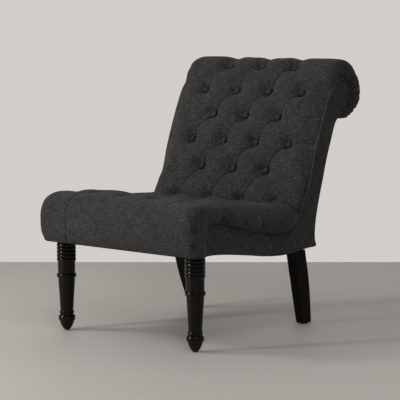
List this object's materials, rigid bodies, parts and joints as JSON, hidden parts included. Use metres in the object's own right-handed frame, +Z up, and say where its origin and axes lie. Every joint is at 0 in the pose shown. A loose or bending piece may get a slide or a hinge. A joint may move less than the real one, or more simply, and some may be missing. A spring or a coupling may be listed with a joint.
{
  "type": "slipper chair",
  "caption": "Armless upholstered low chair with a deep buttoned seat and raked back, a rolled top, turned front legs and raked square rear legs.",
  "frame": {"origin": "middle of the footprint on the floor (centre of the bounding box, at its bottom)", "axes": "+Z up, the chair faces -Y, +X is the right-hand side of a viewer who looks at its front"},
  "size_m": [0.676, 0.8962, 0.9026],
  "materials": {
    "charcoal_cloth": "matte",
    "black_lacquer": "gloss",
    "frame_wood": "matte",
    "foam": "matte",
    "wadding": "matte",
    "board": "matte",
    "steel": "satin",
    "glide_plastic": "satin",
    "jute": "matte",
    "dust_cloth": "matte"
  },
  "bodies": {
    "root": {"seat_cover": "charcoal_cloth", "seat_batting": "wadding", "inside_back_cover": "charcoal_cloth", "back_batting": "wadding", "seat_foam": "foam", "back_foam": "foam", "roll_foam": "foam", "back_buttons": "charcoal_cloth", "crease_buttons": "charcoal_cloth", "seat_buttons": "charcoal_cloth", "button_twines": "jute", "twine_toggles": "frame_wood", "centre_stretcher": "frame_wood", "front_corner_post_left": "frame_wood", "side_rail_left": "frame_wood", "back_post_left": "frame_wood", "front_corner_post_right": "frame_wood", "side_rail_right": "frame_wood", "back_post_right": "frame_wood", "front_rail": "frame_wood", "rear_rail": "frame_wood", "back_lower_rail": "frame_wood", "back_upper_rail": "frame_wood", "corner_blocks": "frame_wood", "corner_block_screws": "steel", "frame_dowels": "frame_wood", "roll_slats": "frame_wood", "roll_board": "board", "seat_springs": "steel", "spring_clips": "steel", "spring_tie_wires": "steel", "deck_cloth": "jute", "back_burlap": "jute", "back_webbing_upright": "jute", "back_webbing_cross": "jute", "side_cover_left": "charcoal_cloth", "side_padding_left": "wadding", "side_cover_right": "charcoal_cloth", "side_padding_right": "wadding", "front_corner_wadding": "wadding", "outside_back_cover": "charcoal_cloth", "outside_back_board": "board", "dust_cover": "dust_cloth", "front_leg_left": "black_lacquer", "front_leg_right": "black_lacquer", "front_leg_bolts": "steel", "front_leg_plates": "steel", "rear_leg_left": "black_lacquer", "rear_leg_right": "black_lacquer", "rear_leg_bolts": "steel", "rear_leg_washers": "steel", "rear_leg_nuts": "steel", "glides": "glide_plastic"}
  },
  "joints": []
}
